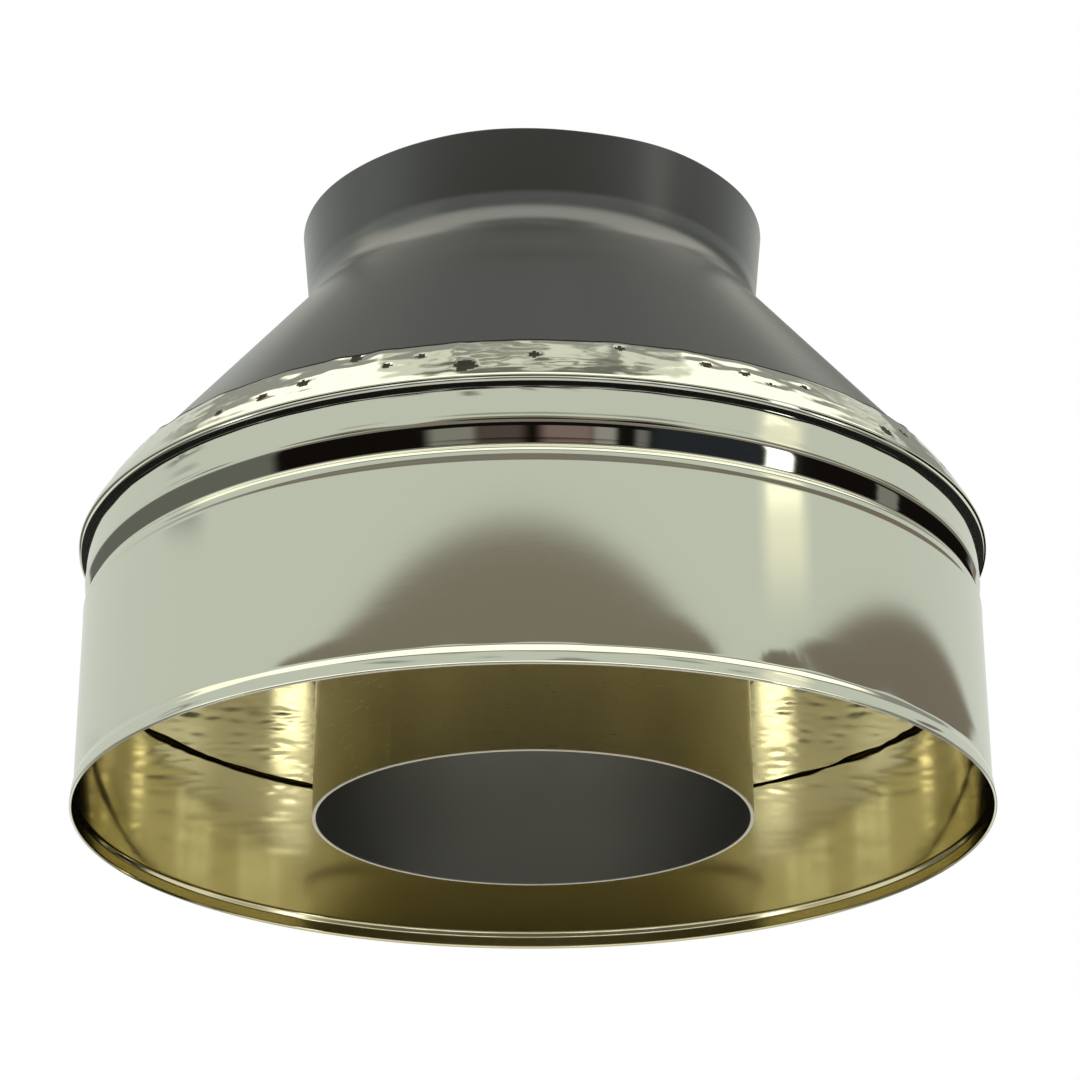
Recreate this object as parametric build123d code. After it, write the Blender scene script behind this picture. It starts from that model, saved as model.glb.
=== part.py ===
from build123d import *
import math
import os

# Conical adapter that closes the end of an insulated twin-wall flue.
# It stands mouth down: +Z runs up the flue's axis, and the origin is the middle
# of the casing's open end. All sizes are millimetres and all angles degrees.

# Casing, rolled from bright annealed stainless sheet
casing_sheet = 0.6
casing_bore_radius = 100.5
casing_height = 59.5
lip_stand_out = 0.66
lip_height = 2.6
lip_taper = 1.8
bead_start = 42.9
bead_rise = 1.3
bead_crest = 1.6
bead_stand_out = 0.35
groove_fall = 0.8
groove_floor = 0.8
groove_rise = 3.6
groove_depth = 0.9
groove_lip_radius = 1.1
groove_corner_radius = 0.7
roll_form_radius = 2.0

# Rolled seam at the top of the casing, which grips the foot of the cone
ledge_bend_radius = 0.5
ledge_width = 0.2
nose_radius = 1.2
hem_steepness = 32.0
hem_rise = 12.4
seam_slip = 0.1
foot_clearance = 0.4

# Gathers left in the hem where it was hammered down onto the cone
gather_count = 44
gather_height = 0.5
gather_spread = 0.3
gather_wander = 0.22
gather_base_gap = 0.6
gather_set_in = 0.15

# Cone and collar, spun in one piece from satin stainless sheet
cone_sheet = 0.8
cone_half_angle = 39.4
foot_bend_radius = 6.0
neck_radius = 53.1
neck_bend_radius = 14.0
neck_land = 7.0
collar_height = 22.5
collar_flare = 1.55

# Flue liner tube: a spigot that ends at a stop, the body, and a swaged socket above
spigot_radius = 48.85
spigot_set_back = 0.9
stop_step = 0.45
stop_rise = 1.2
stop_bend_radius = 2.0
tube_sheet = 0.8
socket_depth = 50.0
socket_set_down = 2.3
socket_slip = 0.1
swage_height = 7.0
swage_bend_radius = 4.0

# Closing plate under the insulation, hand-trimmed round its edge
plate_sheet = 0.6
plate_height = 37.1
plate_slip = 0.15
plate_neck_height = 7.0
plate_bend_radius = 1.5
plate_edge_gap = 1.5
plate_edge_raggedness = 0.7
plate_edge_cuts = 64

# Mineral wool packed above the plate
wool_slack = 0.3
wool_tip_width = 3.0

# Sizes that follow from the ones above
casing_radius = casing_bore_radius + casing_sheet
lip_radius = casing_radius + lip_stand_out
bead_radius = casing_radius + bead_stand_out
bead_end = bead_start + bead_rise + bead_crest
groove_radius = casing_radius - groove_depth
groove_end = bead_end + groove_fall + groove_floor + groove_rise
hem_angle = math.radians(hem_steepness)
cone_angle = math.radians(cone_half_angle)

# The hem's skin starts from the corner it would have without the rounded nose
nose_centre_radius = casing_radius + ledge_bend_radius + ledge_width
nose_turn = math.radians(90 + hem_steepness)
hem_corner = (nose_centre_radius + nose_radius * math.tan(nose_turn / 2), casing_height)
gather_base = casing_height + nose_radius * (1 + math.sin(hem_angle)) + gather_base_gap

tube_radius = spigot_radius + stop_step
socket_radius = neck_radius - cone_sheet - socket_slip
plate_hole_radius = tube_radius + plate_slip
plate_edge_radius = casing_bore_radius - plate_edge_gap


def up_slope(start, angle, rise):
    """The point a given rise above start, on a slope that leans in."""
    return (start[0] - rise * math.tan(angle), start[1] + rise)


def square_in(point, angle, distance):
    """The point square in from a slope that leans in."""
    return (point[0] - distance * math.cos(angle), point[1] - distance * math.sin(angle))


def uneven(index, rate):
    """A repeatable value between -1 and 1 for one of a ring of like features."""
    return math.sin(rate * index + 1.9 * math.sin(0.37 * rate * index + rate))


def turned_sheet(skin_points, bend_radii, thickness):
    """Sheet turned about the axis, lying left of a path of (radius, height) points."""
    skin = FilletPolyline(skin_points, radius=bend_radii)
    section = make_face(offset(skin, amount=thickness, side=Side.LEFT, closed=True))
    return revolve(Plane.XZ * section, axis=Axis.Z)


# The cone starts under the hem's edge, and what stands above follows its slope
hem_top = up_slope(hem_corner, hem_angle, hem_rise)
cone_bend = square_in(hem_top, hem_angle, casing_sheet + seam_slip)
cone_rise = (cone_bend[0] - neck_radius) / math.tan(cone_angle)
neck = up_slope(cone_bend, cone_angle, cone_rise)
collar_top = (neck_radius + collar_flare, neck[1] + collar_height)
tube_top = collar_top[1] - socket_set_down
swage_top = tube_top - socket_depth


def hem_ring(height, share):
    """A closed outline round the hem, puckered by a share of the gathers' height."""
    plain_radius = up_slope(hem_corner, hem_angle, height - casing_height)[0]
    valley_radius = plain_radius - gather_set_in
    pitch = 360 / gather_count
    points = []
    for index in range(gather_count):
        crest = share * gather_height * (0.6 + 0.4 * uneven(index, 2.3))
        middle = (index + gather_wander * uneven(index, 1.1)) * pitch
        spread = gather_spread * pitch * (0.8 + 0.2 * uneven(index, 3.7))
        for angle, lift in ((middle - spread, 0), (middle, crest), (middle + spread, 0)):
            points.append(Vector(valley_radius + lift, 0, height).rotate(Axis.Z, angle))
    return make_face(Polyline(points, close=True))


def make_hem():
    """The hem above the nose: gathered outside, plain where it lies on the cone."""
    half_way = (gather_base + hem_top[1]) / 2
    outside = loft(
        [hem_ring(gather_base, 0.0), hem_ring(half_way, 0.6), hem_ring(hem_top[1], 1.0)],
        ruled=True,
    )
    back = casing_sheet / math.cos(hem_angle)
    base_radius = up_slope(hem_corner, hem_angle, gather_base - casing_height)[0]
    inside = Cone(
        base_radius - back,
        hem_top[0] - back,
        hem_top[1] - gather_base,
        align=(Align.CENTER, Align.CENTER, Align.MIN),
    )
    return outside - Pos(0, 0, gather_base) * inside


def make_casing():
    """Casing with its lip, bead, groove and rolled seam, all in one sheet."""
    skin = [
        (lip_radius, 0),
        (lip_radius, lip_height),
        (casing_radius, lip_height + lip_taper),
        (casing_radius, bead_start),
        (bead_radius, bead_start + bead_rise),
        (bead_radius, bead_end),
        (groove_radius, bead_end + groove_fall),
        (groove_radius, bead_end + groove_fall + groove_floor),
        (casing_radius, groove_end),
        (casing_radius, casing_height),
        hem_corner,
        hem_top,
    ]
    bends = [roll_form_radius] * 4
    bends += [groove_lip_radius, groove_corner_radius] + [roll_form_radius] * 2
    bends += [ledge_bend_radius, nose_radius]
    wall = turned_sheet(skin, bends, casing_sheet)
    above_nose = Pos(0, 0, gather_base) * Cylinder(
        hem_corner[0], hem_rise, align=(Align.CENTER, Align.CENTER, Align.MIN))
    return wall - above_nose + make_hem()


def make_cone():
    """Cone with its foot under the hem, a hollow bend at the neck, and the collar."""
    sheets_at_foot = casing_sheet + seam_slip + cone_sheet
    foot_rise = casing_sheet + foot_clearance + sheets_at_foot * math.sin(hem_angle)
    foot_skin = up_slope(hem_corner, hem_angle, foot_rise)
    foot = square_in(foot_skin, hem_angle, casing_sheet + seam_slip)
    flare_start = (neck_radius, neck[1] + neck_land)
    skin = [foot, cone_bend, neck, flare_start, collar_top]
    bends = [foot_bend_radius, neck_bend_radius, neck_bend_radius]
    return turned_sheet(skin, bends, cone_sheet)


def make_tube():
    """Liner tube: spigot in the mouth, stop under the plate, socket in the collar."""
    skin = [
        (spigot_radius, spigot_set_back),
        (spigot_radius, plate_height - stop_rise),
        (tube_radius, plate_height),
        (tube_radius, swage_top - swage_height),
        (socket_radius, swage_top),
        (socket_radius, tube_top),
    ]
    return turned_sheet(skin, [stop_bend_radius] * 2 + [swage_bend_radius] * 2, tube_sheet)


def make_plate():
    """Ring plate turned up round the tube, its outer edge trimmed by hand."""
    beyond_edge = plate_edge_radius + 2 * plate_edge_raggedness
    face = [
        (plate_hole_radius, plate_height + plate_neck_height),
        (plate_hole_radius, plate_height),
        (beyond_edge, plate_height),
    ]
    plate = turned_sheet(face, [plate_bend_radius], plate_sheet)
    cuts = []
    for index in range(plate_edge_cuts):
        radius = plate_edge_radius + plate_edge_raggedness * uneven(index, 2.9)
        angle = (index + 0.3 * uneven(index, 1.7)) * 360 / plate_edge_cuts
        cuts.append(Vector(radius, 0, 0).rotate(Axis.Z, angle))
    outline = extrude(make_face(Polyline(cuts, close=True)), plate_height + 2 * plate_neck_height)
    return plate & outline


def make_wool():
    """Ring of mineral wool that fills the hollow above the plate."""
    inner_radius = plate_hole_radius + max(plate_sheet, plate_bend_radius) + wool_slack
    outer_radius = min(casing_bore_radius, groove_radius - casing_sheet) - wool_slack
    tip_radius = max(socket_radius, tube_radius) + wool_slack
    bottom = plate_height + plate_sheet + wool_slack
    under_hem = casing_sheet + seam_slip + cone_sheet + wool_slack
    shoulder = square_in(hem_top, hem_angle, under_hem)
    edge_rise = (shoulder[0] - outer_radius) / math.tan(hem_angle)
    tip_rise = (shoulder[0] - tip_radius - wool_tip_width) / math.tan(cone_angle)
    tip = up_slope(shoulder, cone_angle, tip_rise)
    swage_start = swage_top - swage_height - wool_slack
    outline = [
        (inner_radius, bottom),
        (outer_radius, bottom),
        up_slope(shoulder, hem_angle, edge_rise),
        shoulder,
        tip,
        (tip_radius, tip[1]),
        (tip_radius, swage_start),
        (inner_radius, swage_start),
    ]
    return revolve(Plane.XZ * make_face(Polyline(outline, close=True)), axis=Axis.Z)


pieces = {
    "outer_casing": make_casing,
    "cone_cover": make_cone,
    "liner_tube": make_tube,
    "closing_plate": make_plate,
    "insulation_ring": make_wool,
}

os.makedirs("parts", exist_ok=True)
for name, make in pieces.items():
    export_step(make(), "parts/" + name + ".step")
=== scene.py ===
"""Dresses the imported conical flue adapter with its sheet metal, and sets its stage and camera.

The part hangs mouth down in its own frame, with +Z up the flue's axis. Each piece of
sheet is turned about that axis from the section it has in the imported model.
"""
import math

import bmesh
import bpy
from bpy.props import FloatProperty, IntProperty, PointerProperty, StringProperty
from mathutils import Matrix, Vector, noise


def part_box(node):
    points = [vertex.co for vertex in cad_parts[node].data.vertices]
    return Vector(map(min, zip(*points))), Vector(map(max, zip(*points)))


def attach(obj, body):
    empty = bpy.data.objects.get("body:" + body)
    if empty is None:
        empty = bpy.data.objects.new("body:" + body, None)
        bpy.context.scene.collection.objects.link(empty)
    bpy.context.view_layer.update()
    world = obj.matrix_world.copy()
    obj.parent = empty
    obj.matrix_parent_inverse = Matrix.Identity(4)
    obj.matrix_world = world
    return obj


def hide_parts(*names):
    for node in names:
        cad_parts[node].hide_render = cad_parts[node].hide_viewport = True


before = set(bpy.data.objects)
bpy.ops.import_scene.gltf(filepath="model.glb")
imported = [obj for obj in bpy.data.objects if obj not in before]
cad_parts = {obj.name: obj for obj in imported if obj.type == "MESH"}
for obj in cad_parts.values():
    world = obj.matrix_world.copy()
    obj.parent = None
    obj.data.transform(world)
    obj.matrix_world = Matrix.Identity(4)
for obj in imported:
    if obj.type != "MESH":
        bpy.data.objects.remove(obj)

bl_info = {
    "name": "Conical flue adapter",
    "version": (1, 0, 0),
    "blender": (4, 5, 0),
    "location": "View3D > Sidebar > Flue adapter",
    "description": "Models the adapter's sheet metal round its packed frame",
    "category": "Mesh",
}

MM = 0.001
BODY = "root"
AXIS = Vector((0, 0, 1))

# Points nearer than this count as one, and as level with each other
MERGE_DISTANCE = 0.001 * MM

# Each straight ends in short edges of this length, unless it is short itself
HOLD = 0.3 * MM
SHORTEST_HELD = 4 * HOLD

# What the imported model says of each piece's reach
_, CASING_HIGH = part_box("outer_casing")
CONE_LOW, CONE_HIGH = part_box("cone_cover")
LINER_LOW, LINER_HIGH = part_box("liner_tube")
PLATE_LOW, PLATE_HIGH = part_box("closing_plate")


def length(name, description, millimetres):
    """A property for a size that is read in millimetres and held in metres."""
    return FloatProperty(
        name=name, description=description, default=millimetres * MM,
        unit="LENGTH", precision=5)


def angle(name, description, degrees):
    """A property for an angle."""
    return FloatProperty(
        name=name, description=description, default=math.radians(degrees), subtype="ANGLE")


def hue(name, description, code):
    """A property for a colour, written as an sRGB hex value."""
    return StringProperty(name=name, description=description, default=code)


class CasingSizes(bpy.types.PropertyGroup):
    """Sizes of the casing, its roll-formed rings and its rolled seam."""
    sheet: length("Sheet", "Thickness of the casing's sheet", 0.6)
    bore_radius: length("Bore radius", "Inner radius of the casing", 100.5)
    wall_height: length("Wall height", "From the mouth to the rolled seam", 59.5)
    lip_stand_out: length("Lip stand-out", "How far the lip stands out from the wall", 0.66)
    lip_flare: length("Lip flare", "How far the lip's edge flares", 0.07)
    lip_set_back: length("Lip set-back", "Height of the flared edge's cut side", 0.1)
    lip_edge_height: length("Lip edge height", "Height over which the edge flares", 0.6)
    lip_edge_radius: length("Lip edge bend", "Bend radius above the flared edge", 0.5)
    lip_lean: length("Lip lean", "How far the lip leans in before it tapers", 0.21)
    lip_height: length("Lip height", "Height of the lip before it tapers", 2.9)
    lip_taper: length("Lip taper", "Height over which the lip runs into the wall", 1.2)
    bead_start: length("Bead start", "Height of the bead's foot", 43.2)
    bead_rise: length("Bead rise", "Height of the bead's lower slope", 0.9)
    bead_crest: length("Bead crest", "Height of the bead's crest", 1.8)
    bead_stand_out: length("Bead stand-out", "How far the bead stands out", 0.07)
    bead_foot_radius: length("Bead foot", "Bend radius at the bead's foot", 8.0)
    groove_fall: length("Groove fall", "Height of the groove's lower slope", 0.7)
    groove_floor: length("Groove floor", "Height of the groove's steep foot", 0.6)
    groove_rise: length("Groove rise", "Height of the groove's upper slope", 3.8)
    groove_depth: length("Groove depth", "How far the groove goes in from the wall", 0.9)
    groove_lip_radius: length("Groove lip", "Bend radius at the bead's upper edge", 1.8)
    groove_corner_radius: length("Groove corner", "Bend radius at the groove's foot", 0.4)
    groove_pinch: length("Groove pinch", "How much deeper the groove is at its foot", 0.04)
    groove_floor_radius: length("Groove floor bend", "Bend radius above the steep foot", 1.0)
    groove_ease: length("Groove ease", "How far the slope's first stretch comes out", 0.27)
    groove_ease_height: length("Groove ease height", "Height of that stretch", 1.0)
    groove_ease_radius: length("Groove ease bend", "Bend radius at its end", 6.0)
    groove_end_radius: length("Groove end bend", "Bend radius where the wall goes on", 8.0)
    form_radius: length("Form radius", "Bend radius left by the forming rolls", 2.0)
    lean_height: length("Lean height", "Height of the wall that leans in under the seam", 0.8)
    lean_in: length("Lean in", "How far it leans in", 0.15)
    ledge_bend_radius: length("Ledge bend", "Room for the bend where the sheet turns out", 0.5)
    ledge_corner_radius: length("Ledge corner", "Radius that this bend has", 0.4)
    ledge_width: length("Ledge width", "Flat of the ledge under the seam", 0.2)
    nose_radius: length("Nose radius", "Radius of the seam's lower edge", 1.19)
    hem_steepness: angle("Hem steepness", "Lean of the hem from upright", 32.0)


class HemSizes(bpy.types.PropertyGroup):
    """Sizes of the gathers, creases and dents in the hammered hem."""
    gathers: IntProperty(name="Gathers", description="Gathers round the hem", default=44)
    gather_height: length("Gather height", "Height of a full gather", 0.5)
    gather_spread: FloatProperty(
        name="Gather spread", description="Half width, as a share of the pitch", default=0.3)
    gather_wander: FloatProperty(
        name="Gather wander", description="Shift to a side, as a share of the pitch",
        default=0.22)
    bulge: length("Bulge", "How far the hem is rounded out from a plain cone", 0.3)
    crease_height: length("Crease height", "Height of the streaky creases", 0.1)
    crease_length: length("Crease length", "Length of a crease round the hem", 9.0)
    crease_width: length("Crease width", "Width of a crease up the hem", 1.7)
    dent_depth: length("Dent depth", "Depth of a full dent", 0.24)
    dent_width: length("Dent width", "Half width of a full dent", 1.0)


class ConeSizes(bpy.types.PropertyGroup):
    """Sizes of the cone and its collar."""
    sheet: length("Sheet", "Thickness of the cone's sheet", 0.8)
    half_angle: angle("Half angle", "Lean of the cone from the axis", 39.4)
    foot_bend_radius: length("Foot bend", "Bend radius under the hem's edge", 6.0)
    seam_slip: length("Seam slip", "Gap between the hem and the cone", 0.1)
    neck_radius: length("Neck radius", "Outer radius of the neck", 53.1)
    neck_bend_radius: length("Neck bend", "Radius of the hollow bend at the neck", 14.0)
    neck_land: length("Neck land", "Upright stretch above the neck's corner", 7.0)
    collar_flare: length("Collar flare", "How far the collar opens at its top", 1.55)
    rim_waviness: length("Rim waviness", "How far the collar's cut edge wanders", 0.3)
    draw_mark_depth: length("Draw mark depth", "Depth of the hollow in front", 0.45)
    draw_mark_height: length("Draw mark height", "Height of its middle", 111.0)
    draw_mark_reach: length("Draw mark reach", "From its middle up to its edge", 2.8)
    draw_mark_side: angle("Draw mark side", "How far it goes round to each side", 40.0)


class LinerSizes(bpy.types.PropertyGroup):
    """Sizes of the liner tube."""
    sheet: length("Sheet", "Thickness of the tube's wall", 0.8)
    spigot_radius: length("Spigot radius", "Outer radius of the spigot", 48.85)
    stop_step: length("Stop step", "Step from the spigot to the body", 0.45)
    stop_rise: length("Stop rise", "Height of that step", 1.2)
    stop_bend_radius: length("Stop bend", "Bend radius at the step", 2.0)
    socket_depth: length("Socket depth", "Depth of the upper socket", 50.0)
    swage_height: length("Swage height", "Height over which the socket opens", 7.0)
    swage_bend_radius: length("Swage bend", "Bend radius at the swage", 4.0)
    weld_width: length("Weld width", "Width of the lengthwise weld", 1.5)
    weld_height: length("Weld height", "How far the weld stands out", 0.1)
    weld_angle: angle("Weld angle", "Where the weld is, left of the front", 37.7)


class PlateSizes(bpy.types.PropertyGroup):
    """Sizes of the closing plate."""
    sheet: length("Sheet", "Thickness of the plate", 0.6)
    slip: length("Slip", "Gap round the tube", 0.15)
    bend_radius: length("Bend radius", "Bend radius of the plate's neck", 1.5)
    edge_radius: length("Edge radius", "Mean radius of the trimmed edge", 99.2)
    edge_raggedness: length("Edge raggedness", "How far the trimmed edge wanders", 0.7)
    edge_width: length("Edge width", "Width of the ring that wanders with it", 7.2)
    buckle_height: length("Buckle height", "Height of the plate's broad buckles", 0.2)
    buckle_size: length("Buckle size", "Breadth of a buckle", 14.0)


class Finishes(bpy.types.PropertyGroup):
    """Colours of the sheets and the wool."""
    bright_sheet: hue("Bright sheet", "Bright annealed stainless", "#d6d9cb")
    # Partly painted reflection: the inside's straw tint also stands for light bounced round the
    # mouth
    straw_sheet: hue("Straw sheet", "The casing's inside, with its straw tint", "#d6cfac")
    plate_sheet: hue("Plate sheet", "The closing plate", "#dbd8bd")
    satin_sheet: hue("Satin sheet", "Spun satin stainless", "#6a6c6d")
    liner_sheet: hue("Liner sheet", "Liner tube, outside", "#e6e0cc")
    # Painted shade: the bore is coloured darker than the tube's outside
    liner_bore: hue("Liner bore", "Liner tube, inside", "#bcbcb9")
    # Painted shade: the black of the seam's crease and of the line along the hem's top edge
    crease_shade_tone: hue("Crease soil", "Rolling grease caught in the seam's crease", "#121210")
    # The dark brown given to the bottoms of the hem's dents
    dent_bottom_tone: hue("Dent soil", "Dust caught in the hem's dents", "#38342b")
    wool: hue("Wool", "Mineral wool", "#6e6038")


class StageSizes(bpy.types.PropertyGroup):
    """Places of the floor and the camera."""
    floor_drop: length("Floor drop", "Depth of the floor under the mouth", 300.0)
    floor_width: length("Floor width", "Width of the floor", 4400.0)
    camera_distance: length("Camera distance", "From the axis to the camera", 644.5)
    camera_drop: length("Camera drop", "Depth of the camera under the mouth", 205.2)
    camera_pitch: angle("Camera pitch", "How far the camera looks up", 23.03)
    camera_yaw: angle("Camera yaw", "How far the camera looks right", 0.15)
    camera_roll: angle("Camera roll", "How far the camera is rolled", -0.16)
    lens: FloatProperty(
        name="Lens", description="Focal length on a 36 mm sensor", default=101.43)


def linear(code):
    """The linear colour of an sRGB hex value."""
    channels = [int(code[place:place + 2], 16) / 255 for place in (1, 3, 5)]
    bent = [c / 12.92 if c <= 0.04045 else ((c + 0.055) / 1.055) ** 2.4 for c in channels]
    return (*bent, 1.0)


def add(tree, kind, links=None, **settings):
    """Adds a node with its settings; links gives its inputs a value or another's output."""
    node = tree.nodes.new(kind)
    for name, value in settings.items():
        setattr(node, name, value)
    for name, value in (links or {}).items():
        if isinstance(value, bpy.types.NodeSocket):
            tree.links.new(value, node.inputs[name])
        else:
            node.inputs[name].default_value = value
    return node


def uneven(index, rate):
    """A repeatable value between -1 and 1 for one of a ring of like features."""
    return math.sin(rate * index + 1.9 * math.sin(0.37 * rate * index + rate))


def hump(distance, reach):
    """A smooth hump: 1 at its middle and 0 from its reach outwards."""
    share = min(1.0, abs(distance) / reach)
    return (1 - share * share) ** 2


def rounded_wire(points, bends):
    """A bmesh with a wire through points of (radius, height), its corners bent in turn."""
    shape = bmesh.new()
    places = [Vector((radius, 0, height)) for radius, height in points]
    corners = [shape.verts.new(place) for place in places]
    for start, end in zip(corners, corners[1:]):
        shape.edges.new((start, end))
    for index, (bend, segments) in enumerate(bends, 1):
        back = (places[index - 1] - places[index]).normalized()
        ahead = (places[index + 1] - places[index]).normalized()
        turn = math.pi - back.angle(ahead)
        arc = bmesh.ops.bevel(
            shape, geom=[corners[index]], offset=bend * math.tan(turn / 2),
            offset_type="OFFSET", segments=segments, profile=0.5, affect="VERTICES",
            material=-1)
        middle = places[index] + (back + ahead).normalized() * bend / math.cos(turn / 2)
        for vert in arc["verts"]:
            vert.co = middle + (vert.co - middle).normalized() * bend

    # A short edge at each end keeps a bend's smooth shading off the straight beside it
    for edge in shape.edges[:]:
        for vert in edge.verts[:]:
            if edge.calc_length() > SHORTEST_HELD:
                bmesh.utils.edge_split(edge, vert, HOLD / edge.calc_length())
    return shape


def divide(shape, spacing, low, high):
    """Divides the wire's edges between two heights so that none is longer than spacing."""
    for edge in shape.edges[:]:
        middle = (edge.verts[0].co.z + edge.verts[1].co.z) / 2
        cuts = math.ceil(edge.calc_length() / spacing) - 1
        if low <= middle <= high and cuts > 0:
            bmesh.ops.subdivide_edges(shape, edges=[edge], cuts=cuts)


def turn_about_axis(shape, steps):
    """Turns the wire into a surface whose faces point away from the axis."""
    bmesh.ops.spin(
        shape, geom=shape.verts[:] + shape.edges[:], cent=(0, 0, 0), axis=AXIS,
        angle=math.tau, steps=steps, use_merge=True)
    bmesh.ops.remove_doubles(shape, verts=shape.verts[:], dist=MERGE_DISTANCE)
    bmesh.ops.recalc_face_normals(shape, faces=shape.faces[:])


def emboss(verts, relief):
    """Moves points outwards by what relief(angle, point) gives, in metres."""
    moves = [(vert, vert.normal * relief(math.atan2(vert.co.y, vert.co.x), vert.co))
             for vert in verts]
    for vert, move in moves:
        vert.co += move


def thicken(shape, sheet, ease=0.13):
    """Gives the surface its thickness, inwards, and eases its cut edges by a share of it."""
    bmesh.ops.solidify(shape, geom=shape.faces[:], thickness=sheet)
    cut = [edge for edge in shape.edges if edge.calc_face_angle(0) > math.radians(60)]
    bmesh.ops.bevel(
        shape, geom=cut, offset=ease * sheet, offset_type="OFFSET", segments=3,
        profile=0.5, affect="EDGES", material=-1)


# The casing's materials, by their place on its mesh
BRIGHT, STRAW, PAINTED_SHADE, DENT_DARK = range(4)

# How far the painted shade reaches in the seam's crease: under and over the ledge, and in
# from the wall's skin
CREASE_UNDER = 0.25 * MM
CREASE_OVER = 0.12 * MM
CREASE_IN = 0.2 * MM

# The hem's top edge: the height of its rounding, and of the painted shadow line under that
RIM_ROUNDING = 0.2 * MM
EDGE_LINE = 0.4 * MM

# Degrees between two faces over which their edge is shaded sharp
SHARPEST_SMOOTH = 38


def faces_axis(face):
    """True if a face looks towards the axis."""
    middle = face.calc_center_median()
    return face.normal.x * middle.x + face.normal.y * middle.y < 0


def outer_skin(shape, low, high):
    """The faces between two heights that look away from the axis."""
    return [face for face in shape.faces
            if low < face.calc_center_median().z < high and not faces_axis(face)]


def finish_piece(shape, name, materials, node):
    """Makes the piece's object, which stands for a node and rides on the body."""
    sharp = math.radians(SHARPEST_SMOOTH)
    for face in shape.faces:
        face.smooth = True
    for edge in shape.edges:
        edge.smooth = edge.calc_face_angle(0) < sharp
    mesh = bpy.data.meshes.new(name)
    shape.to_mesh(mesh)
    shape.free()
    for material in materials:
        mesh.materials.append(material)
    piece = bpy.data.objects.new(name, mesh)
    bpy.context.scene.collection.objects.link(piece)
    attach(piece, BODY)
    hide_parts(node)


def start_material(name):
    """A new material and its node tree, which is still empty."""
    material = bpy.data.materials.new(name)
    material.use_nodes = True
    material.node_tree.nodes.clear()
    return material, material.node_tree


def sheet_metal(name, code, roughness, grain, streak, roll):
    """Stainless sheet: its colour, its roughness, and the fine marks it was left with.

    grain is the marks' width in metres and streak how deep they look; roll says how
    many times longer than wide they are, round the axis.
    """
    material, tree = start_material(name)
    place = add(tree, "ShaderNodeTexCoord")
    along = add(tree, "ShaderNodeMapping", {"Vector": place.outputs["Object"],
                                            "Scale": (1 / roll, 1 / roll, 1)})
    marks = add(tree, "ShaderNodeTexNoise", {
        "Vector": along.outputs["Vector"], "Scale": 1 / grain, "Detail": 3.0,
        "Roughness": 0.6})
    rough = add(tree, "ShaderNodeMapRange", {
        "Value": marks.outputs["Fac"], "From Min": 0.3, "From Max": 0.7,
        "To Min": roughness * 0.9, "To Max": roughness * 1.12})
    bump = add(tree, "ShaderNodeBump", {
        "Height": marks.outputs["Fac"], "Distance": streak, "Strength": 1.0})
    shader = add(tree, "ShaderNodeBsdfPrincipled", {
        "Base Color": linear(code), "Metallic": 1.0,
        "Roughness": rough.outputs["Result"], "Normal": bump.outputs["Normal"]})
    add(tree, "ShaderNodeOutputMaterial", {"Surface": shader.outputs["BSDF"]})
    return material


def bright_annealed_stainless(colours):
    """Bright annealed 304 sheet, cold-rolled between polished rolls.

    It mirrors its surroundings almost sharply, with a pale grey tone.
    """
    return sheet_metal("bright_annealed_stainless", colours.bright_sheet, roughness=0.05,
                       grain=0.5 * MM, streak=0.00004 * MM, roll=9)


def straw_bounce_tinted_stainless(colours):
    """The sheet inside the mouth, its straw tint strengthened as a painted reflection of bounced
    light.
    """
    return sheet_metal("straw_bounce_tinted_stainless", colours.straw_sheet, roughness=0.10,
                       grain=0.5 * MM, streak=0.0001 * MM, roll=9)


def satin_spun_stainless(colours):
    """Satin 304 sheet, spun over a former: fine rings, and a dull dark gleam."""
    return sheet_metal("satin_spun_stainless", colours.satin_sheet, roughness=0.24,
                       grain=0.25 * MM, streak=0.00007 * MM, roll=30)


def satin_tube_stainless(colours):
    """Rolled and welded 304 tube: a soft satin mirror with fine marks round it."""
    return sheet_metal("satin_tube_stainless", colours.liner_sheet, roughness=0.3,
                       grain=0.3 * MM, streak=0.00002 * MM, roll=20)


def shaded_bore_stainless(colours):
    """The tube's bore, a little rougher than its outside and darker with painted shade: a dark
    neutral sheen.
    """
    return sheet_metal("shaded_bore_stainless", colours.liner_bore, roughness=0.33,
                       grain=0.3 * MM, streak=0.00002 * MM, roll=20)


def thin_plate_stainless(colours):
    """Thin bright plate, buckled in cutting: a straw-tinted mirror that ripples."""
    return sheet_metal("thin_plate_stainless", colours.plate_sheet, roughness=0.1,
                       grain=0.6 * MM, streak=0.0015 * MM, roll=4)


def dull_dark_coat(name, code):
    """A dull dark coat with an unevenly rough surface."""
    material, tree = start_material(name)
    place = add(tree, "ShaderNodeTexCoord")
    specks = add(tree, "ShaderNodeTexNoise", {
        "Vector": place.outputs["Object"], "Scale": 1 / (0.4 * MM)})
    rough = add(tree, "ShaderNodeMapRange", {
        "Value": specks.outputs["Fac"], "To Min": 0.45, "To Max": 0.8})
    shader = add(tree, "ShaderNodeBsdfPrincipled", {
        "Base Color": linear(code), "Roughness": rough.outputs["Result"],
        "Specular IOR Level": 0.2})
    add(tree, "ShaderNodeOutputMaterial", {"Surface": shader.outputs["BSDF"]})
    return material


def painted_crease_shade(colours):
    """Painted shade where the gaps fall dark: a dull black line in the seam's crease and along
    the hem's top edge.
    """
    return dull_dark_coat("painted_crease_shade", colours.crease_shade_tone)


def dark_dent_bottoms(colours):
    """The dull dark brown given to the bottoms of the hem's dents."""
    return dull_dark_coat("dark_dent_bottoms", colours.dent_bottom_tone)


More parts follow.
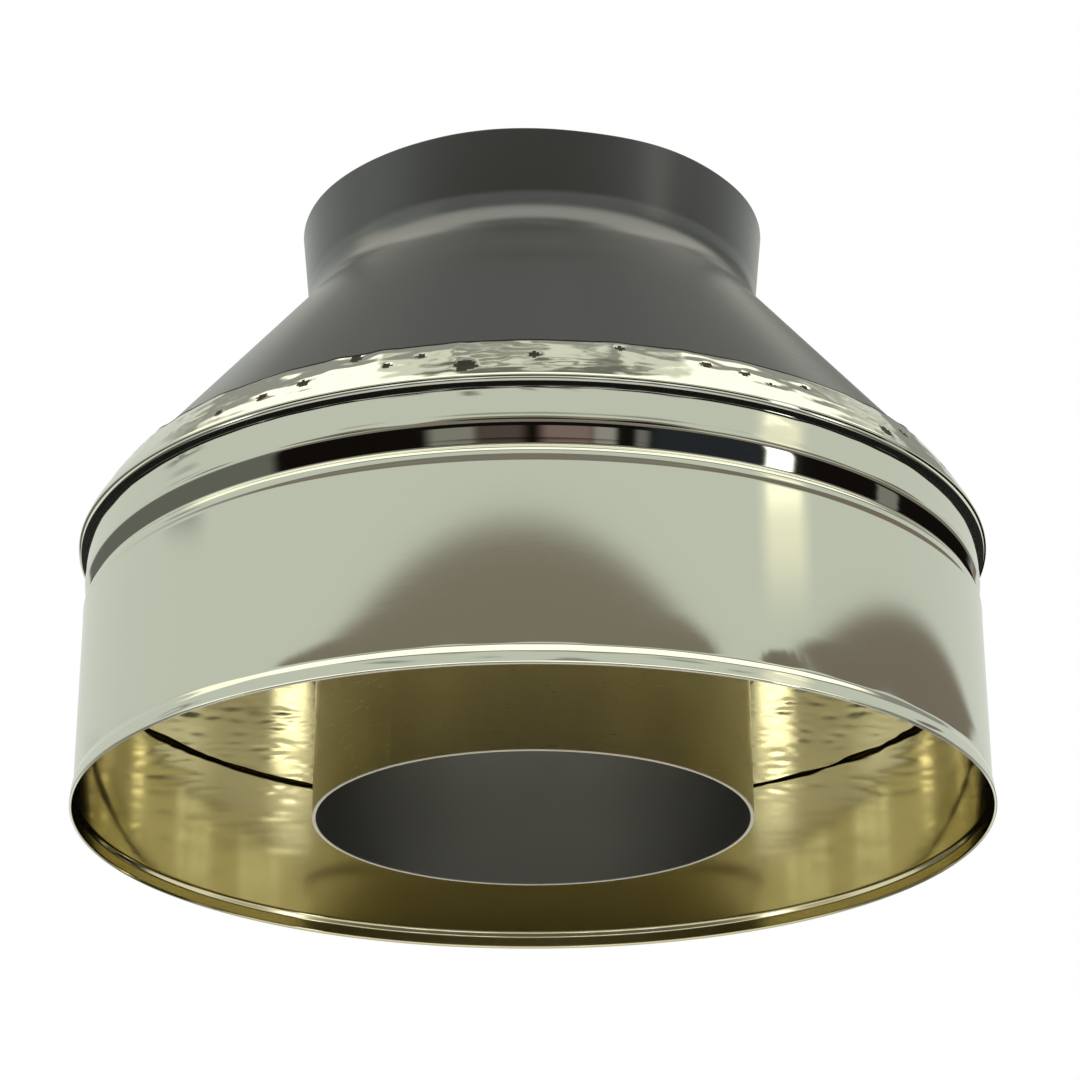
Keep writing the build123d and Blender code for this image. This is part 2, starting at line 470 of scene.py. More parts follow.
def mineral_wool(colours):
    """Needled stone wool: a matt brown mat of short fibres that drinks the light."""
    material, tree = start_material("mineral_wool")
    place = add(tree, "ShaderNodeTexCoord")
    fibres = add(tree, "ShaderNodeTexNoise", {
        "Vector": place.outputs["Object"], "Scale": 1 / (0.8 * MM), "Detail": 6.0,
        "Roughness": 0.75})
    tone = linear(colours.wool)
    shade = add(tree, "ShaderNodeMix", {
        "Factor": fibres.outputs["Fac"],
        "A": tuple(0.35 * c for c in tone[:3]) + (1.0,), "B": tone}, data_type="RGBA")
    bump = add(tree, "ShaderNodeBump", {
        "Height": fibres.outputs["Fac"], "Distance": 0.6 * MM})
    shader = add(tree, "ShaderNodeBsdfPrincipled", {
        "Base Color": shade.outputs["Result"], "Roughness": 0.95,
        "Specular IOR Level": 0.1, "Normal": bump.outputs["Normal"]})
    add(tree, "ShaderNodeOutputMaterial", {"Surface": shader.outputs["BSDF"]})
    return material


def groove_top(sizes):
    """The height at which the groove's upper slope meets the wall."""
    floor_start = sizes.bead_start + sizes.bead_rise + sizes.bead_crest + sizes.groove_fall
    return floor_start + sizes.groove_floor + sizes.groove_rise


def casing_section(sizes):
    """The casing's outer skin from its mouth to the hem's edge, and its bends.

    A bend is the radius of a corner and the number of edges that round it.
    """
    wall = sizes.bore_radius + sizes.sheet
    lip = wall + sizes.lip_stand_out
    bead = wall + sizes.bead_stand_out
    groove = wall - sizes.groove_depth
    bead_top = sizes.bead_start + sizes.bead_rise + sizes.bead_crest
    floor_start = bead_top + sizes.groove_fall
    floor_end = floor_start + sizes.groove_floor
    nose = wall + sizes.ledge_bend_radius + sizes.ledge_width
    turn = math.pi / 2 + sizes.hem_steepness
    corner = nose + sizes.nose_radius * math.tan(turn / 2)
    hem_top = CASING_HIGH.z
    hem_edge = corner - (hem_top - sizes.wall_height) * math.tan(sizes.hem_steepness)
    corners = (
        (lip - sizes.lip_flare, sizes.lip_edge_height, sizes.lip_edge_radius, 4),
        (lip - sizes.lip_lean, sizes.lip_height, sizes.form_radius, 6),
        (wall, sizes.lip_height + sizes.lip_taper, sizes.form_radius, 6),
        (wall, sizes.bead_start, sizes.bead_foot_radius, 4),
        (bead, sizes.bead_start + sizes.bead_rise, sizes.bead_foot_radius, 4),
        (bead, bead_top, sizes.groove_lip_radius, 10),
        (groove - sizes.groove_pinch, floor_start, sizes.groove_corner_radius, 5),
        (groove, floor_end, sizes.groove_floor_radius, 3),
        (groove + sizes.groove_ease, floor_end + sizes.groove_ease_height,
         sizes.groove_ease_radius, 2),
        (wall, groove_top(sizes), sizes.groove_end_radius, 8),
        (wall, sizes.wall_height - sizes.lean_height, sizes.form_radius, 4),
        (wall - sizes.lean_in, sizes.wall_height, sizes.ledge_corner_radius, 4),
        (corner, sizes.wall_height, sizes.nose_radius, 10),
    )
    points = [(lip + sizes.lip_flare, sizes.lip_set_back)]
    points += [(radius, height) for radius, height, _, _ in corners]
    points.append((hem_edge, hem_top))
    return points, [(bend, edges) for _, _, bend, edges in corners]


# Where the casing's wall is uneven: the lip, the plain wall above it, and the height
# from which the band under the seam wrinkles more and more
LIP_BAND = (0.3 * MM, 5 * MM)
WALL_BAND = (5 * MM, 40 * MM)
WRINKLES_START = 53.5 * MM

# A faint ridge that the seaming roll pressed up round that band
RIDGE_HEIGHT = 52.1 * MM
RIDGE_REACH = 0.9 * MM


def lip_crumple(turn, point):
    """Fine crumpling of the lip, where the rolls worked the sheet hardest."""
    spot = Vector((point.x, point.y, 7 * point.z))
    return 0.035 * MM * noise.noise(spot / (8 * MM)) - 0.02 * MM


def wall_waves(turn, point):
    """Broad faint waves that rolling left in the wall; a mirror shows them."""
    spot = Vector((point.x, point.y, 0.7 * point.z))
    low, high = WALL_BAND
    ease = min(1.0, (point.z - low) / (6 * MM), (high - point.z) / (6 * MM))
    return max(0.0, ease) * 0.002 * MM * noise.noise(spot / (32 * MM))


def band_wrinkles(turn, point):
    """Wrinkles under the seam, longest round the ring, that fade down the band."""
    near_seam = min(1.0, max(0.0, (point.z - WRINKLES_START) / (5 * MM)))
    broad = noise.noise(Vector((point.x / (16 * MM), point.y / (16 * MM),
                                point.z / (4 * MM))))
    small = noise.noise(Vector((point.x / (5 * MM), point.y / (5 * MM),
                                point.z / (1.6 * MM) + 9)))
    ridge = hump(point.z - RIDGE_HEIGHT, RIDGE_REACH) * (1 + 0.6 * broad)
    return (0.02 * broad + 0.07 * near_seam ** 2 * small - 0.03 + 0.08 * ridge) * MM


class Hem:
    """The relief of the hammered hem, as a height over its plain cone."""

    # Dents seen from the front: degrees right of it, share of the height, share of full size
    SEEN = (
        (-39.5, 0.25, 0.9), (-33.0, 0.30, 1.1), (-27.5, 0.40, 1.2), (-21.5, 0.85, 1.2),
        (-17.0, 0.45, 0.9), (-13.0, 0.62, 0.9), (-7.5, 0.22, 1.9), (0.3, 0.50, 1.1),
        (10.2, 0.78, 0.9), (20.8, 0.62, 1.0), (25.6, 0.55, 0.9), (29.0, 0.42, 0.7),
        (34.5, 0.62, 0.9), (46.5, 0.22, 1.5), (52.0, 0.55, 1.1), (62.0, 0.45, 1.0),
    )
    # Dents elsewhere, and the degrees on each side of the front that they leave out
    HIDDEN_DENTS = 40
    SEEN_HALF = 70.0

    # Share of the hem's height over which its relief starts, above the nose
    EASE = 0.12

    # Share of their height that the hammer left of the gathers
    GATHERS_LEFT = 0.55

    def __init__(self, sizes, base, top):
        self.sizes = sizes
        self.base = base
        self.top = top
        self.pitch = math.tau / sizes.gathers
        seen = [(math.radians(turn - 90), share, size) for turn, share, size in self.SEEN]
        spare = math.radians(360 - 2 * self.SEEN_HALF)
        start = math.radians(self.SEEN_HALF - 90)
        hidden = [
            (start + spare * (index + 0.5 + 0.4 * uneven(index, 2.1)) / self.HIDDEN_DENTS,
             0.5 + 0.38 * uneven(index, 3.3), 0.95 + 0.3 * uneven(index, 1.3))
            for index in range(self.HIDDEN_DENTS)]
        self.dents = seen + hidden

    def gathers(self, turn, share):
        """The puckers where the hem's edge was shortened onto the cone."""
        index = round(turn / self.pitch)
        height = 0.0
        for gather in (index - 1, index, index + 1):
            count = gather % self.sizes.gathers
            middle = (gather + self.sizes.gather_wander * uneven(count, 1.1)) * self.pitch
            spread = (self.sizes.gather_spread * self.pitch
                      * (0.8 + 0.2 * uneven(count, 3.7)))
            crest = self.sizes.gather_height * (0.6 + 0.4 * uneven(count, 2.3))
            height += share * crest * hump(turn - middle, 1.25 * spread)
        return height

    def away_from_dents(self, turn, point):
        """How far a point is from each dent's middle, round the hem and up it."""
        share = (point.z - self.base) / (self.top - self.base)
        radius = math.hypot(point.x, point.y)
        for place, level, size in self.dents:
            across = radius * ((turn - place + math.pi) % math.tau - math.pi)
            up = (share - level) * (self.top - self.base)
            yield across, up, self.sizes.dent_width * size

    def in_dark_dent_bottom(self, point):
        """True in the dark-coloured bottom of a dent, whose edge is ragged."""
        turn = math.atan2(point.y, point.x)
        rim = 0.85 + 0.3 * noise.noise(point / (1.6 * MM))
        return any(math.hypot(0.7 * across, up) < rim * reach
                   for across, up, reach in self.away_from_dents(turn, point))

    def relief(self, turn, point):
        """How far a point of the hem stands out."""
        share = (point.z - self.base) / (self.top - self.base)
        if share <= 0:
            return 0.0
        sizes = self.sizes
        ease = min(1.0, share / self.EASE)

        # Long creases round the hem, with shorter, sharper folds across them
        streaks = noise.noise(Vector((point.x / sizes.crease_length,
                                      point.y / sizes.crease_length,
                                      point.z / sizes.crease_width)))
        folds = noise.noise(Vector((2.3 * point.x / sizes.crease_length + 7,
                                    2.3 * point.y / sizes.crease_length,
                                    1.6 * point.z / sizes.crease_width)))
        height = self.GATHERS_LEFT * self.gathers(turn % math.tau, share)
        height += ease * sizes.crease_height * (1.3 * streaks + 0.8 * abs(folds))
        height += sizes.bulge * 4 * share * (1 - share)
        for across, up, reach in self.away_from_dents(turn, point):
            height -= ease * sizes.dent_depth * hump(math.hypot(0.8 * across, up), reach)
        return height


def casing_material(face, sizes, hem):
    """Which of the casing's materials a face has."""
    middle = face.calc_center_median()
    radius = math.hypot(middle.x, middle.y)
    crease = sizes.bore_radius + sizes.sheet - CREASE_IN
    # The inside takes the straw tint, partly a painted reflection of bounced light
    if faces_axis(face):
        return STRAW
    # Painted shade in the crease under the seam's ledge
    if -CREASE_UNDER < middle.z - sizes.wall_height < CREASE_OVER and radius > crease:
        return PAINTED_SHADE
    # Painted shadow along the hem's top edge, under the cone
    if middle.z > hem.top - RIM_ROUNDING - EDGE_LINE:
        return PAINTED_SHADE
    # The bottoms of the dents are coloured dark brown
    if middle.z > hem.base and hem.in_dark_dent_bottom(middle):
        return DENT_DARK
    return BRIGHT


class ADAPTER_OT_casing(bpy.types.Operator):
    """Model the casing in one sheet, from its lip to the gathered hem"""
    bl_idname = "adapter.casing"
    bl_label = "Casing"

    def execute(self, context):
        sizes = context.scene.adapter_casing
        hem_sizes = context.scene.adapter_hem
        colours = context.scene.adapter_finishes
        points, bends = casing_section(sizes)
        shape = rounded_wire(points, bends)

        # The section is divided band by band, as finely as the band's relief needs
        nose_top = sizes.wall_height + sizes.nose_radius * (1 + math.sin(sizes.hem_steepness))
        groove_end = groove_top(sizes)
        divide(shape, 0.55 * MM, nose_top, CASING_HIGH.z)
        divide(shape, 1.0 * MM, groove_end + 0.6 * MM, sizes.wall_height - 0.6 * MM)
        divide(shape, 4.0 * MM, sizes.lip_height, sizes.bead_start)
        divide(shape, 0.3 * MM, 0, sizes.lip_height)
        turn_about_axis(shape, steps=296)
        thicken(shape, sizes.sheet, ease=0.4)

        # The hem's outer skin is cut finer round the axis, to carry the dents
        edge = CASING_HIGH.z - RIM_ROUNDING
        level = {side for face in outer_skin(shape, nose_top, edge) for side in face.edges
                 if abs(side.verts[0].co.z - side.verts[1].co.z) < MERGE_DISTANCE}
        bmesh.ops.subdivide_edges(shape, edges=list(level), cuts=2, use_grid_fill=True)
        shape.normal_update()
        hem = Hem(hem_sizes, nose_top, CASING_HIGH.z)
        skin = {vert for face in outer_skin(shape, 0, edge) for vert in face.verts}
        bands = ((*LIP_BAND, lip_crumple), (*WALL_BAND, wall_waves),
                 (groove_end + MM, sizes.wall_height - 0.6 * MM, band_wrinkles),
                 (nose_top, CASING_HIGH.z, hem.relief))
        for low, high, relief in bands:
            emboss([vert for vert in skin if low <= vert.co.z <= high], relief)

        shape.normal_update()
        for face in shape.faces:
            face.material_index = casing_material(face, sizes, hem)
        finish_piece(
            shape, "casing",
            [bright_annealed_stainless(colours), straw_bounce_tinted_stainless(colours),
             painted_crease_shade(colours), dark_dent_bottoms(colours)],
            "outer_casing")
        return {"FINISHED"}


class ADAPTER_OT_cone(bpy.types.Operator):
    """Model the cone, its neck and its collar as one spun sheet"""
    bl_idname = "adapter.cone"
    bl_label = "Cone and collar"

    def execute(self, context):
        sizes = context.scene.adapter_cone
        casing = context.scene.adapter_casing
        points, _ = casing_section(casing)
        hem_radius, hem_top = points[-1]
        under = casing.sheet + sizes.seam_slip
        lean = casing.hem_steepness
        bend = (hem_radius - under * math.cos(lean), hem_top - under * math.sin(lean))
        foot_rise = bend[1] - CONE_LOW.z - sizes.sheet * math.sin(lean)
        foot = (bend[0] + foot_rise * math.tan(lean), bend[1] - foot_rise)
        neck_rise = (bend[0] - sizes.neck_radius) / math.tan(sizes.half_angle)
        neck = (sizes.neck_radius, bend[1] + neck_rise)
        flare = (sizes.neck_radius, neck[1] + sizes.neck_land)
        flare_angle = math.atan2(sizes.collar_flare, CONE_HIGH.z - flare[1])
        top = (sizes.neck_radius + sizes.collar_flare,
               CONE_HIGH.z - sizes.sheet * math.sin(flare_angle))
        shape = rounded_wire(
            [foot, bend, neck, flare, top],
            [(sizes.foot_bend_radius, 8), (sizes.neck_bend_radius, 16),
             (sizes.neck_bend_radius, 4)])
        divide(shape, 4.0 * MM, foot[1], CONE_HIGH.z)
        turn_about_axis(shape, steps=320)

        def draw_mark(turn, point):
            """The shallow hollow that the former left across the front."""
            across = hump(turn + math.pi / 2, sizes.draw_mark_side)
            lift = point.z - sizes.draw_mark_height
            return -sizes.draw_mark_depth * across * hump(lift, sizes.draw_mark_reach)

        emboss(shape.verts[:], draw_mark)
        thicken(shape, sizes.sheet)

        # The collar's cut edge dips here and there, and drags the sheet under it along
        for vert in shape.verts:
            near_top = max(0.0, (vert.co.z - flare[1]) / (CONE_HIGH.z - flare[1]))
            wave = noise.noise(Vector((vert.co.x, vert.co.y, 0)) / (26 * MM)) - 0.6
            vert.co.z += min(0.0, near_top ** 3 * sizes.rim_waviness * wave)
        colours = context.scene.adapter_finishes
        finish_piece(shape, "cone_and_collar", [satin_spun_stainless(colours)],
                     "cone_cover")
        return {"FINISHED"}


class ADAPTER_OT_liner(bpy.types.Operator):
    """Model the liner tube with its stop and socket"""
    bl_idname = "adapter.liner"
    bl_label = "Liner tube"

    def execute(self, context):
        sizes = context.scene.adapter_liner
        colours = context.scene.adapter_finishes
        body = sizes.spigot_radius + sizes.stop_step
        stop = PLATE_LOW.z
        swage_top = LINER_HIGH.z - sizes.socket_depth
        points = [
            (sizes.spigot_radius, LINER_LOW.z), (sizes.spigot_radius, stop - sizes.stop_rise),
            (body, stop), (body, swage_top - sizes.swage_height),
            (LINER_HIGH.x, swage_top), (LINER_HIGH.x, LINER_HIGH.z),
        ]
        shape = rounded_wire(
            points, [(sizes.stop_bend_radius, 3)] * 2 + [(sizes.swage_bend_radius, 5)] * 2)
        divide(shape, 6.0 * MM, LINER_LOW.z, LINER_HIGH.z)
        turn_about_axis(shape, steps=480)

        def weld(turn, point):
            """The ground-back bead of the lengthwise weld."""
            across = (turn + math.pi / 2 + sizes.weld_angle) * sizes.spigot_radius
            return sizes.weld_height * hump(across, sizes.weld_width)

        emboss(shape.verts[:], weld)
        thicken(shape, sizes.sheet)

        # The tube's first material is its outside, and its second one its bore
        for face in shape.faces:
            face.material_index = int(faces_axis(face))
        finish_piece(shape, "liner",
                     [satin_tube_stainless(colours), shaded_bore_stainless(colours)],
                     "liner_tube")
        return {"FINISHED"}


def buckle(sizes, hole, point):
    """How far the plate is buckled upwards at a point; beside the tube it lies flat."""
    radius = math.hypot(point.x, point.y)
    free = min(1.0, max(0.0, (radius - hole - 3 * MM) / (12 * MM)))
    spot = Vector((point.x, point.y, 0)) / sizes.buckle_size

    # A low broad wave, with small dents that stand up from it
    broad = noise.noise(spot)
    small = noise.noise(2.7 * spot + Vector((3, 5, 0)))
    dent = max(0.0, abs(small) - 0.22)
    return free * sizes.buckle_height * (0.35 * broad + 1.6 * dent)


def ragged_edge(sizes, point):
    """How hand trimming moves a point, out from the axis or in; none well inside."""
    around = Vector((point.x, point.y, 0)).normalized()
    radius = math.hypot(point.x, point.y)
    start = sizes.edge_radius - sizes.edge_width
    share = min(1.0, max(0.0, (radius - start) / sizes.edge_width))
    cut = noise.noise((around + Vector((0, 0, 0.3))) * 9)
    cut += 0.5 * noise.noise((around + Vector((0, 0, 2.3))) * 24)
    return around * share * sizes.edge_raggedness * max(-1.3, min(0.9, 1.6 * cut))


class ADAPTER_OT_plate(bpy.types.Operator):
    """Model the closing plate, buckled, with its edge trimmed by hand"""
    bl_idname = "adapter.plate"
    bl_label = "Closing plate"

    def execute(self, context):
        sizes = context.scene.adapter_plate
        liner = context.scene.adapter_liner
        colours = context.scene.adapter_finishes
        hole = liner.spigot_radius + liner.stop_step + sizes.slip
        face = PLATE_LOW.z
        shape = rounded_wire(
            [(hole, PLATE_HIGH.z), (hole, face), (sizes.edge_radius, face)],
            [(sizes.bend_radius, 5)])
        divide(shape, 1.6 * MM, face - MM, face + MM)
        turn_about_axis(shape, steps=400)

        # The plate's face has to look down, because its sheet is added behind it
        rim = max(shape.faces, key=lambda part: part.calc_center_median().xy.length)
        if rim.normal.z > 0:
            bmesh.ops.reverse_faces(shape, faces=shape.faces[:])
        for vert in shape.verts:
            lift = buckle(sizes, hole, vert.co)
            outwards = ragged_edge(sizes, vert.co)
            vert.co += Vector((outwards.x, outwards.y, lift))
        thicken(shape, sizes.sheet)
        finish_piece(shape, "plate", [thin_plate_stainless(colours)],
                     "closing_plate")
        return {"FINISHED"}


class ADAPTER_OT_insulation(bpy.types.Operator):
    """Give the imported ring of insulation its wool"""
    bl_idname = "adapter.insulation"
    bl_label = "Insulation"

    def execute(self, context):
        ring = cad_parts["insulation_ring"]
        wool = mineral_wool(context.scene.adapter_finishes)
        ring.data.materials.clear()
        ring.data.materials.append(wool)
        return {"FINISHED"}


# What stands round the part, painted on the sky in turn: a colour and its strength, the
# middle and half width in degrees round from the front and the softness of its sides, the
# lowest and highest degrees above the horizon, how far its crown drops to its sides, and
# the softness of its crown and foot
SKY_SHAPES = (
    ("#9a9b93", 1.0, 60, 110, 2, 30, 40, 0, 1.5),
    ("#a5a49f", 1.0, 180, 60, 10, 48, 80, 0, 5.0),
    ("#fffaec", 1.7, 0, 125, 6, 42, 71, 0, 2.0),
    ("#7d7d75", 1.0, 0, 70, 10, 72.5, 79, 0, 1.5),
    ("#14100e", 1.0, 20, 152, 2, -14, 16.5, 0, 1.5),
    ("#6f706b", 1.0, -107, 43, 2, -14, 18, 0, 1.5),
    ("#8f8c86", 1.0, -18.6, 5.8, 2, -4.3, 5, 0, 0.8),
    ("#5a4c4a", 1.0, -7.5, 5.5, 2, -4.3, 5, 0, 0.8),
    ("#8a7472", 1.0, 8.3, 6.1, 2, -4.3, 5, 0, 0.8),
    ("#a09c98", 1.0, 17, 2.6, 1, -4.3, 5, 0, 0.8),
    ("#7c7a78", 1.0, 26, 1.6, 1, -4.3, 5, 0, 0.8),
    ("#2b2e34", 1.0, 42, 14, 3, -14, 14, 0, 0.8),
    ("#ffffff", 3.0, 61, 3.5, 1, -14, 14, 0, 1.0),
    ("#8a8782", 1.0, 95.4, 3.8, 1, -14, 12, 0, 0.8),
    ("#8b8276", 1.0, -3.3, 70, 0.5, 16.5, 23.4, 5.8, 0.45),
    ("#857b70", 1.0, 96, 55, 0.3, 16.5, 21.6, 3.5, 0.3),
    ("#8e918a", 1.0, -98, 7, 5, 23.2, 24.2, 0.4, 0.5),
    ("#fffbe4", 1.12, 65, 6, 3, 22.2, 31, 0, 0.9),
    ("#fffbe4", 1.7, 65, 5, 1.5, 23.6, 24.5, 0, 0.25),
)

# Round shapes laid over those: colour and strength, degrees round from the front and
# above the horizon, radius and softness in degrees
SKY_SPOTS = (
    ("#fffbe4", 1.6, -96, 40, 9.0, 4.0),
)


def lay(tree, under, cover, code, strength):
    """Lays a colour over what is under it, as far as cover, from 0 to 1, says."""
    tone = tuple(strength * channel for channel in linear(code)[:3]) + (1.0,)
    laid = add(tree, "ShaderNodeMix", {
        "Factor": cover, "A": under, "B": tone}, data_type="RGBA")
    return laid.outputs["Result"]


def paint(tree, sky, up, around, shape):
    """Lays one shape over the sky's colour; up and around are a direction's degrees."""
    code, strength, middle, half, side_soft, low, high, drop, soft = shape
    off = add(tree, "ShaderNodeMath", {0: around, 1: middle}, operation="SUBTRACT")
    turned = add(tree, "ShaderNodeMath", {0: off.outputs[0], 1: -180, 2: 180},
                 operation="WRAP")
    aside = add(tree, "ShaderNodeMath", {0: turned.outputs[0]}, operation="ABSOLUTE")
    share = add(tree, "ShaderNodeMath", {0: aside.outputs[0], 1: half}, operation="DIVIDE")
    square = add(tree, "ShaderNodeMath", {0: share.outputs[0], 1: 2}, operation="POWER")
    lifted = add(tree, "ShaderNodeMath", {0: square.outputs[0], 1: drop, 2: up},
                 operation="MULTIPLY_ADD")

    # Each edge is a measure, and where the shape is gone and where it is full along it
    edges = ((aside.outputs[0], half + side_soft, half - side_soft),
             (lifted.outputs[0], high + soft, high - soft),
             (up, low - soft, low + soft))
    cover = 1.0
    for measure, gone, full in edges:
        inside = add(tree, "ShaderNodeMapRange", {
            "Value": measure, "From Min": gone, "From Max": full},
            interpolation_type="SMOOTHSTEP")
        cover = add(tree, "ShaderNodeMath", {0: cover, 1: inside.outputs[0]},
                    operation="MULTIPLY").outputs[0]
    return lay(tree, sky, cover, code, strength)


def paint_spot(tree, sky, look, spot):
    """Lays one round shape over the sky's colour, round a direction to look in."""
    code, strength, around, up, radius, soft = spot
    turn, rise = math.radians(around), math.radians(up)
    middle = (math.sin(turn) * math.cos(rise), -math.cos(turn) * math.cos(rise),
              math.sin(rise))
    nearness = add(tree, "ShaderNodeVectorMath", {0: look, 1: middle},
                   operation="DOT_PRODUCT")
    away = add(tree, "ShaderNodeMath", {0: nearness.outputs["Value"]},
               operation="ARCCOSINE")
    cover = add(tree, "ShaderNodeMapRange", {
        "Value": away.outputs[0], "From Min": math.radians(radius + soft),
        "From Max": math.radians(radius - soft)}, interpolation_type="SMOOTHSTEP")
    return lay(tree, sky, cover.outputs["Result"], code, strength)


def studio_world(world):
    """A pale studio: soft light from all round, with what stands in it painted on.

    The camera itself sees plain white behind the part.
    """
    world.use_nodes = True
    tree = world.node_tree
    tree.nodes.clear()
    look = add(tree, "ShaderNodeTexCoord").outputs["Generated"]
    parts = add(tree, "ShaderNodeSeparateXYZ", {"Vector": look}).outputs
    rise = add(tree, "ShaderNodeMath", {0: parts["Z"]}, operation="ARCSINE")
    up = add(tree, "ShaderNodeMath", {0: rise.outputs[0]}, operation="DEGREES")
    front = add(tree, "ShaderNodeMath", {0: parts["Y"], 1: -1}, operation="MULTIPLY")
    turn = add(tree, "ShaderNodeMath", {0: parts["X"], 1: front.outputs[0]},
               operation="ARCTAN2")
    around = add(tree, "ShaderNodeMath", {0: turn.outputs[0]}, operation="DEGREES")
    wall, lit, unlit = linear("#dde0d8"), linear("#f4f2e4"), linear("#a3a297")
    cloud = add(tree, "ShaderNodeTexNoise", {"Vector": look, "Scale": 9.0, "Detail": 1.0})
    patches = add(tree, "ShaderNodeMapRange", {
        "Value": cloud.outputs["Fac"], "From Min": 0.42, "From Max": 0.56},
        interpolation_type="SMOOTHSTEP")
    ceiling = add(tree, "ShaderNodeMix", {
        "Factor": patches.outputs["Result"], "A": unlit, "B": lit}, data_type="RGBA")
    zone = add(tree, "ShaderNodeMapRange", {
        "Value": up.outputs[0], "From Min": 38, "From Max": 46},
        interpolation_type="SMOOTHSTEP")
    sky = add(tree, "ShaderNodeMix", {
        "Factor": zone.outputs["Result"], "A": wall, "B": ceiling.outputs["Result"]},
        data_type="RGBA")
    colour = sky.outputs["Result"]
    for shape in SKY_SHAPES:
        colour = paint(tree, colour, up.outputs[0], around.outputs[0], shape)
    for spot in SKY_SPOTS:
        colour = paint_spot(tree, colour, look, spot)
    seen = add(tree, "ShaderNodeLightPath").outputs["Is Camera Ray"]
    light = add(tree, "ShaderNodeBackground", {"Color": colour})
    white = add(tree, "ShaderNodeBackground", {"Color": (1, 1, 1, 1)})
    both = add(tree, "ShaderNodeMixShader", {
        0: seen, 1: light.outputs[0], 2: white.outputs[0]})
    add(tree, "ShaderNodeOutputWorld", {"Surface": both.outputs[0]})


# Pools laid over the floor's light in turn, on the right and then on the left: a colour
# and its strength, how far to the side and how far back its middle is, and the radius
# inside which it is full and outside which it is gone, in metres
FLOOR_POOLS = (
    ("#f0ebe0", 0.15, 0.0, 0.0, 0.74, 0.84),
    ("#f5f3ea", 0.8, 0.0, 0.0, 0.30, 0.45),
    ("#fbf6e4", 0.6, 0.97, 0.0, 0.12, 0.36),
    ("#dfe8ff", 4.0, 0.21, -0.845, 0.03, 0.08),
    ("#dfe8ff", 4.0, 0.34, -0.80, 0.03, 0.08),
    ("#dfe8ff", 4.0, 0.47, -0.725, 0.03, 0.08),
    ("#ffffff", 5.0, 0.745, -0.21, 0.04, 0.11),
)

# How much of what the camera sees of the floor is plain white; the rest takes shadows
FLOOR_WHITENESS = 0.72


def studio_floor(sizes):
    """The plain pale floor: matt to other light, near white to the camera.

    The metal sees it in the studio's own light: dim under the part, with a few bright
    pools round it.
    """
    material, tree = start_material("pale_painted_floor")
    paths = add(tree, "ShaderNodeLightPath").outputs
    place = add(tree, "ShaderNodeTexCoord").outputs["Object"]
    tone = linear("#fbfaf2")
    for code, strength, aside, back, inner, outer in FLOOR_POOLS:
        # A pool in the middle is laid once, because its two sides are one
        for side in sorted({aside, -aside}, reverse=True):
            away = add(tree, "ShaderNodeVectorMath", {
                0: place, 1: (side, back, -sizes.floor_drop)}, operation="DISTANCE")
            inside = add(tree, "ShaderNodeMapRange", {
                "Value": away.outputs["Value"], "From Min": outer, "From Max": inner},
                interpolation_type="SMOOTHSTEP")
            tone = lay(tree, tone, inside.outputs["Result"], code, strength)
    paint = add(tree, "ShaderNodeBsdfDiffuse", {"Color": linear("#e8e8e5")})
    mirrored = add(tree, "ShaderNodeEmission", {"Color": tone})
    plain = add(tree, "ShaderNodeEmission", {"Color": (1, 1, 1, 1)})
    in_metal = add(tree, "ShaderNodeMixShader", {
        0: paths["Is Glossy Ray"], 1: paint.outputs[0], 2: mirrored.outputs[0]})
    blended = add(tree, "ShaderNodeMixShader", {
        0: FLOOR_WHITENESS, 1: paint.outputs[0], 2: plain.outputs[0]})
    both = add(tree, "ShaderNodeMixShader", {
        0: paths["Is Camera Ray"], 1: in_metal.outputs[0], 2: blended.outputs[0]})
    add(tree, "ShaderNodeOutputMaterial", {"Surface": both.outputs[0]})
    shape = bmesh.new()
    bmesh.ops.create_grid(shape, x_segments=1, y_segments=1, size=sizes.floor_width / 2)
    bmesh.ops.translate(shape, verts=shape.verts, vec=(0, 0, -sizes.floor_drop))
    mesh = bpy.data.meshes.new("floor")
    shape.to_mesh(mesh)
    shape.free()
    mesh.materials.append(material)
    floor = bpy.data.objects.new("floor", mesh)
    bpy.context.scene.collection.objects.link(floor)


def studio_camera(sizes):
    """The camera, low in front of the part and looking up into its mouth."""
    data = bpy.data.cameras.new("camera")
    data.lens = sizes.lens
    data.sensor_width = 36
    data.clip_start = 0.01
    camera = bpy.data.objects.new("camera", data)
    place = Matrix.Translation((0, -sizes.camera_distance, -sizes.camera_drop))
    yaw = Matrix.Rotation(-sizes.camera_yaw, 4, "Z")
    pitch = Matrix.Rotation(math.pi / 2 + sizes.camera_pitch, 4, "X")
    roll = Matrix.Rotation(sizes.camera_roll, 4, "Z")
    camera.matrix_world = place @ yaw @ pitch @ roll
    bpy.context.scene.collection.objects.link(camera)
    bpy.context.scene.camera = camera


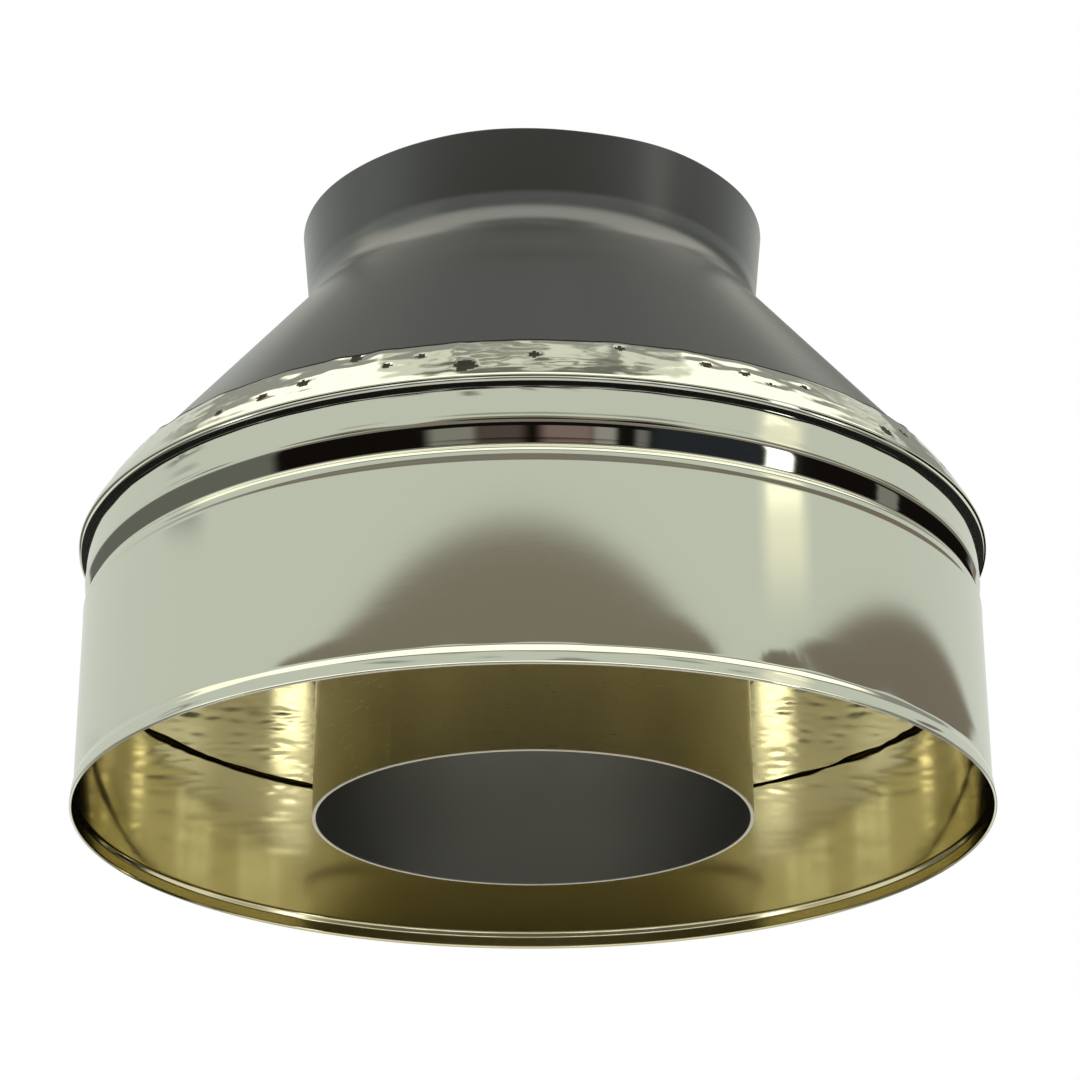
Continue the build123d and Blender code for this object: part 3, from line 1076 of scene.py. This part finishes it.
class ADAPTER_OT_stage(bpy.types.Operator):
    """Set the pale floor, the soft studio light and the camera"""
    bl_idname = "adapter.stage"
    bl_label = "Stage"

    def execute(self, context):
        sizes = context.scene.adapter_stage
        scene = context.scene
        scene.view_settings.view_transform = "Standard"
        scene.world = scene.world or bpy.data.worlds.new("studio")
        studio_world(scene.world)
        studio_floor(sizes)
        studio_camera(sizes)
        return {"FINISHED"}


class ADAPTER_PT_panel(bpy.types.Panel):
    """Lists the adapter's pieces and its stage"""
    bl_idname = "ADAPTER_PT_panel"
    bl_label = "Conical flue adapter"
    bl_space_type = "VIEW_3D"
    bl_region_type = "UI"
    bl_category = "Flue adapter"

    def draw(self, context):
        for operator in OPERATORS:
            self.layout.operator(operator.bl_idname)
        for name in SETTINGS:
            group = getattr(context.scene, name)
            box = self.layout.box()
            box.label(text=group.bl_rna.name)
            for setting in group.bl_rna.properties.keys():
                if setting not in {"rna_type", "name"}:
                    box.prop(group, setting)


SETTINGS = {
    "adapter_casing": CasingSizes,
    "adapter_hem": HemSizes,
    "adapter_cone": ConeSizes,
    "adapter_liner": LinerSizes,
    "adapter_plate": PlateSizes,
    "adapter_finishes": Finishes,
    "adapter_stage": StageSizes,
}

OPERATORS = (
    ADAPTER_OT_casing,
    ADAPTER_OT_cone,
    ADAPTER_OT_liner,
    ADAPTER_OT_plate,
    ADAPTER_OT_insulation,
    ADAPTER_OT_stage,
)


def register():
    """Registers the settings, the operators and the panel."""
    for name, group in SETTINGS.items():
        bpy.utils.register_class(group)
        setattr(bpy.types.Scene, name, PointerProperty(type=group))
    for operator in OPERATORS:
        bpy.utils.register_class(operator)
    bpy.utils.register_class(ADAPTER_PT_panel)


def unregister():
    """Takes back what register added."""
    bpy.utils.unregister_class(ADAPTER_PT_panel)
    for operator in reversed(OPERATORS):
        bpy.utils.unregister_class(operator)
    for name, group in reversed(SETTINGS.items()):
        delattr(bpy.types.Scene, name)
        bpy.utils.unregister_class(group)


def main():
    """Builds every piece and the stage."""
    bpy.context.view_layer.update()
    register()
    for operator in OPERATORS:
        group, name = operator.bl_idname.split(".")
        getattr(getattr(bpy.ops, group), name)()


if __name__ == "__main__":
    main()
